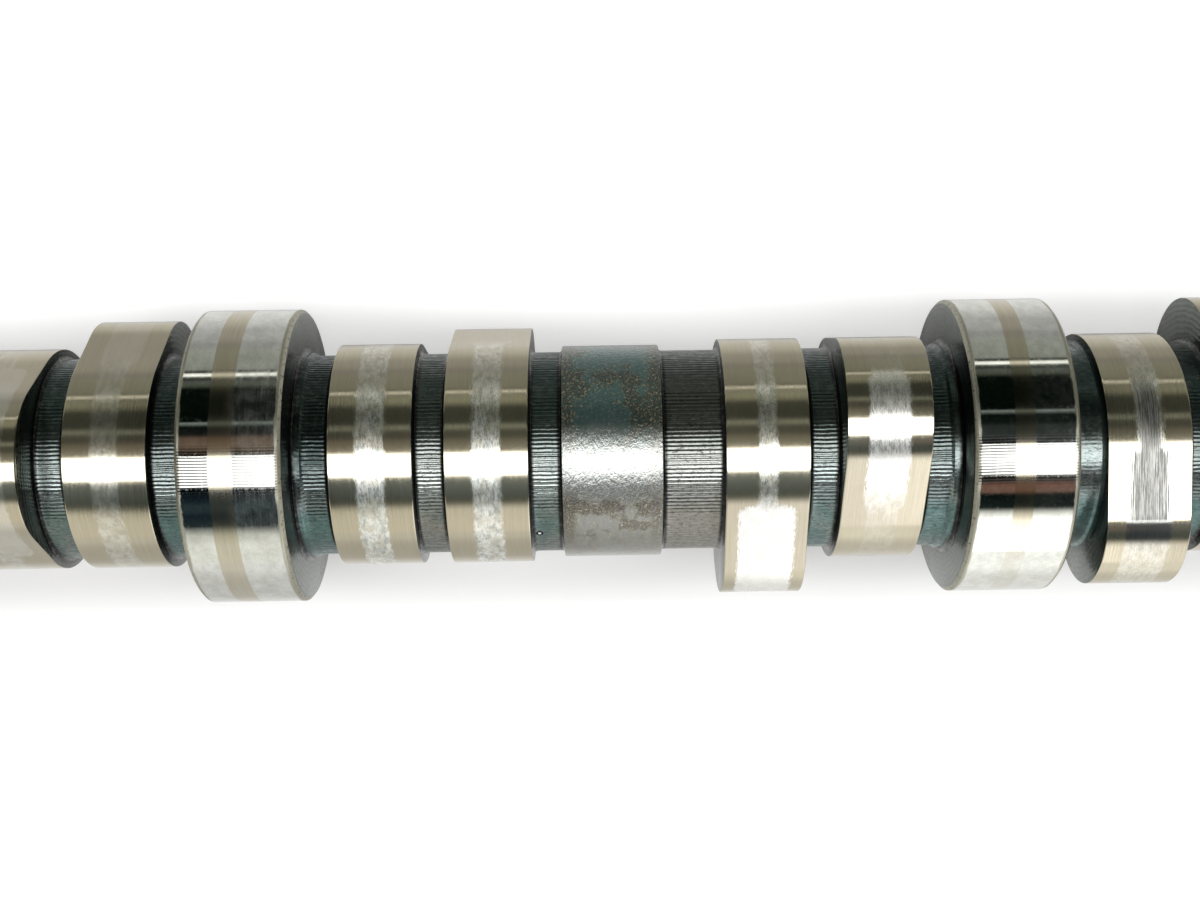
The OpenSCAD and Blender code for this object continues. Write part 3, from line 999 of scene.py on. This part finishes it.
FRONT_ROOM = FAR_SIDE + (
    (-16, 0.010, 0.012, 0.010), (-14.5, 0.105, 0.070, 0.052), (-9, 0.150, 0.105, 0.075),
    (-4, 0.18, 0.13, 0.09), (-1, 0.10, 0.08, 0.06), (3, 0.03, 0.04, 0.05),
    (33, 0.006, 0.013, 0.018), (38, 0.022, 0.036, 0.042), (43, 0.020, 0.032, 0.038),
    (46, 0.008, 0.016, 0.022), (55, 0.02, 0.03, 0.033), (63, 0.62, 0.63, 0.57),
    (72, 0.85, 0.85, 0.79), (90, 0.85, 0.85, 0.80), (180, 0.80, 0.80, 0.77))
BAY_ROOM = BAY_FAR_SIDE + (
    (-16, 0.075, 0.078, 0.062), (-13, 0.17, 0.165, 0.13), (-5, 0.26, 0.26, 0.21),
    (-1, 0.15, 0.15, 0.12), (3, 0.12, 0.13, 0.12), (26, 0.20, 0.24, 0.25),
    (34, 0.145, 0.18, 0.19), (48, 0.08, 0.10, 0.10), (52, 0.12, 0.13, 0.11),
    (60, 0.88, 0.87, 0.80), (82, 0.92, 0.90, 0.83), (180, 0.80, 0.80, 0.77))
REAR_ROOM = FAR_SIDE + (
    (-16, 0.006, 0.010, 0.008), (-14.5, 0.020, 0.026, 0.024), (-8, 0.028, 0.034, 0.032),
    (-4, 0.10, 0.11, 0.11), (20, 0.07, 0.09, 0.09), (28, 0.12, 0.10, 0.09),
    (30, 0.20, 0.10, 0.075), (36.5, 0.17, 0.10, 0.075), (38.5, 0.003, 0.006, 0.005),
    (50, 0.010, 0.016, 0.014), (54.5, 0.9, 0.9, 0.84), (60, 1.5, 1.5, 1.5),
    (90, 1.5, 1.5, 1.5), (180, 1.0, 1.0, 0.95))

# Where these lengths begin, from front to rear: how far a mirrored direction leans
# along the shaft at the start and at the end of the change. Before the first of
# them the room is that of a bay.
ROOM_LENGTHS = ((-0.30, -0.285, "front"), (-0.19, -0.17, "bay"), (0.208, 0.222, "rear"),
                (0.316, 0.330, "bay"))

# The room's strength. The colours above are divided by it. The three below are not:
# those of its two ends, of the even light on matt surfaces and of the white that
# the camera sees.
ROOM_LIGHT = 1.5
ROOM_ENDS = (0.35, 0.35, 0.34)
MATT_LIGHT = (0.28, 0.28, 0.28)
BACKDROP = (0.67, 0.67, 0.67)


def room_ramp(tree, place, stops):
    """The colours of the room by the angle about the axis, as place from 0 to 1."""
    ramp = put(tree, "ShaderNodeValToRGB", {0: place})
    elements = ramp.color_ramp.elements
    while len(elements) < len(stops):
        elements.new(0.5)
    for element, (angle, *color) in zip(elements, stops):
        element.position = angle / 360 + 0.5
        element.color = (*(c / ROOM_LIGHT for c in color), 1.0)
    return ramp.outputs["Color"]


def make_room():
    world = bpy.data.worlds.new("room")
    bpy.context.scene.world = world
    world.use_nodes = True
    tree = world.node_tree
    direction = put(tree, "ShaderNodeTexCoord").outputs["Generated"]
    x, y, z = put(tree, "ShaderNodeSeparateXYZ", {0: direction}).outputs
    turn = calc(tree, "ARCTAN2", times(tree, y, -1.0), z)
    place = plus(tree, times(tree, turn, 1 / (2 * math.pi)), 0.5)
    front, bay, rear = (room_ramp(tree, place, room) for room in (FRONT_ROOM, BAY_ROOM, REAR_ROOM))
    near_wall = times(tree, span(tree, turn, 0.8, 1.0), span(tree, x, -0.1, 0.18))
    near_wall = times(tree, near_wall, span(tree, x, 0.30, 0.35, 1.0, 0.5))
    tint = blend(tree, near_wall, (1.0, 1.0, 1.0), (1.48, 1.49, 1.68))
    bay = vector(tree, "MULTIPLY", {0: bay, 1: tint})
    rear = vector(tree, "SCALE", {0: rear, "Scale": span(tree, turn, 0.95, 1.15, 1.0, 1.4)})
    kinds = {"front": front, "bay": bay, "rear": rear}
    color = bay
    for low, high, kind in ROOM_LENGTHS:
        color = blend(tree, span(tree, x, low, high), color, kinds[kind])
    color = blend(tree, span(tree, calc(tree, "ABSOLUTE", x), 0.80, 0.95), color, ROOM_ENDS)
    path = put(tree, "ShaderNodeLightPath").outputs
    color = blend(tree, path["Is Diffuse Ray"], color, MATT_LIGHT)
    color = blend(tree, path["Is Camera Ray"], color, BACKDROP)
    background = tree.nodes["Background"]
    tree.links.new(color, background.inputs["Color"])
    background.inputs["Strength"].default_value = ROOM_LIGHT


# ---- The scene --------------------------------------------------------------

make_camera()
bpy.context.scene.view_settings.view_transform = "Standard"
make_room()
make_key()
make_floor()

turned_face = face_material()
dark_neck = neck_material()
make_journals(journal_material(), rim_material(), turned_face)
make_lobes(lobe_material(), turned_face)
make_middles(middle_material(), turned_face)
turned_end = end_material()
make_ends(turned_end, turned_end)
for bay in range(JOURNALS - 1):
    make_necks(bay, dark_neck, REAR_NECK_LOOKS if bay == JOURNALS - 2 else NECK_LOOKS)
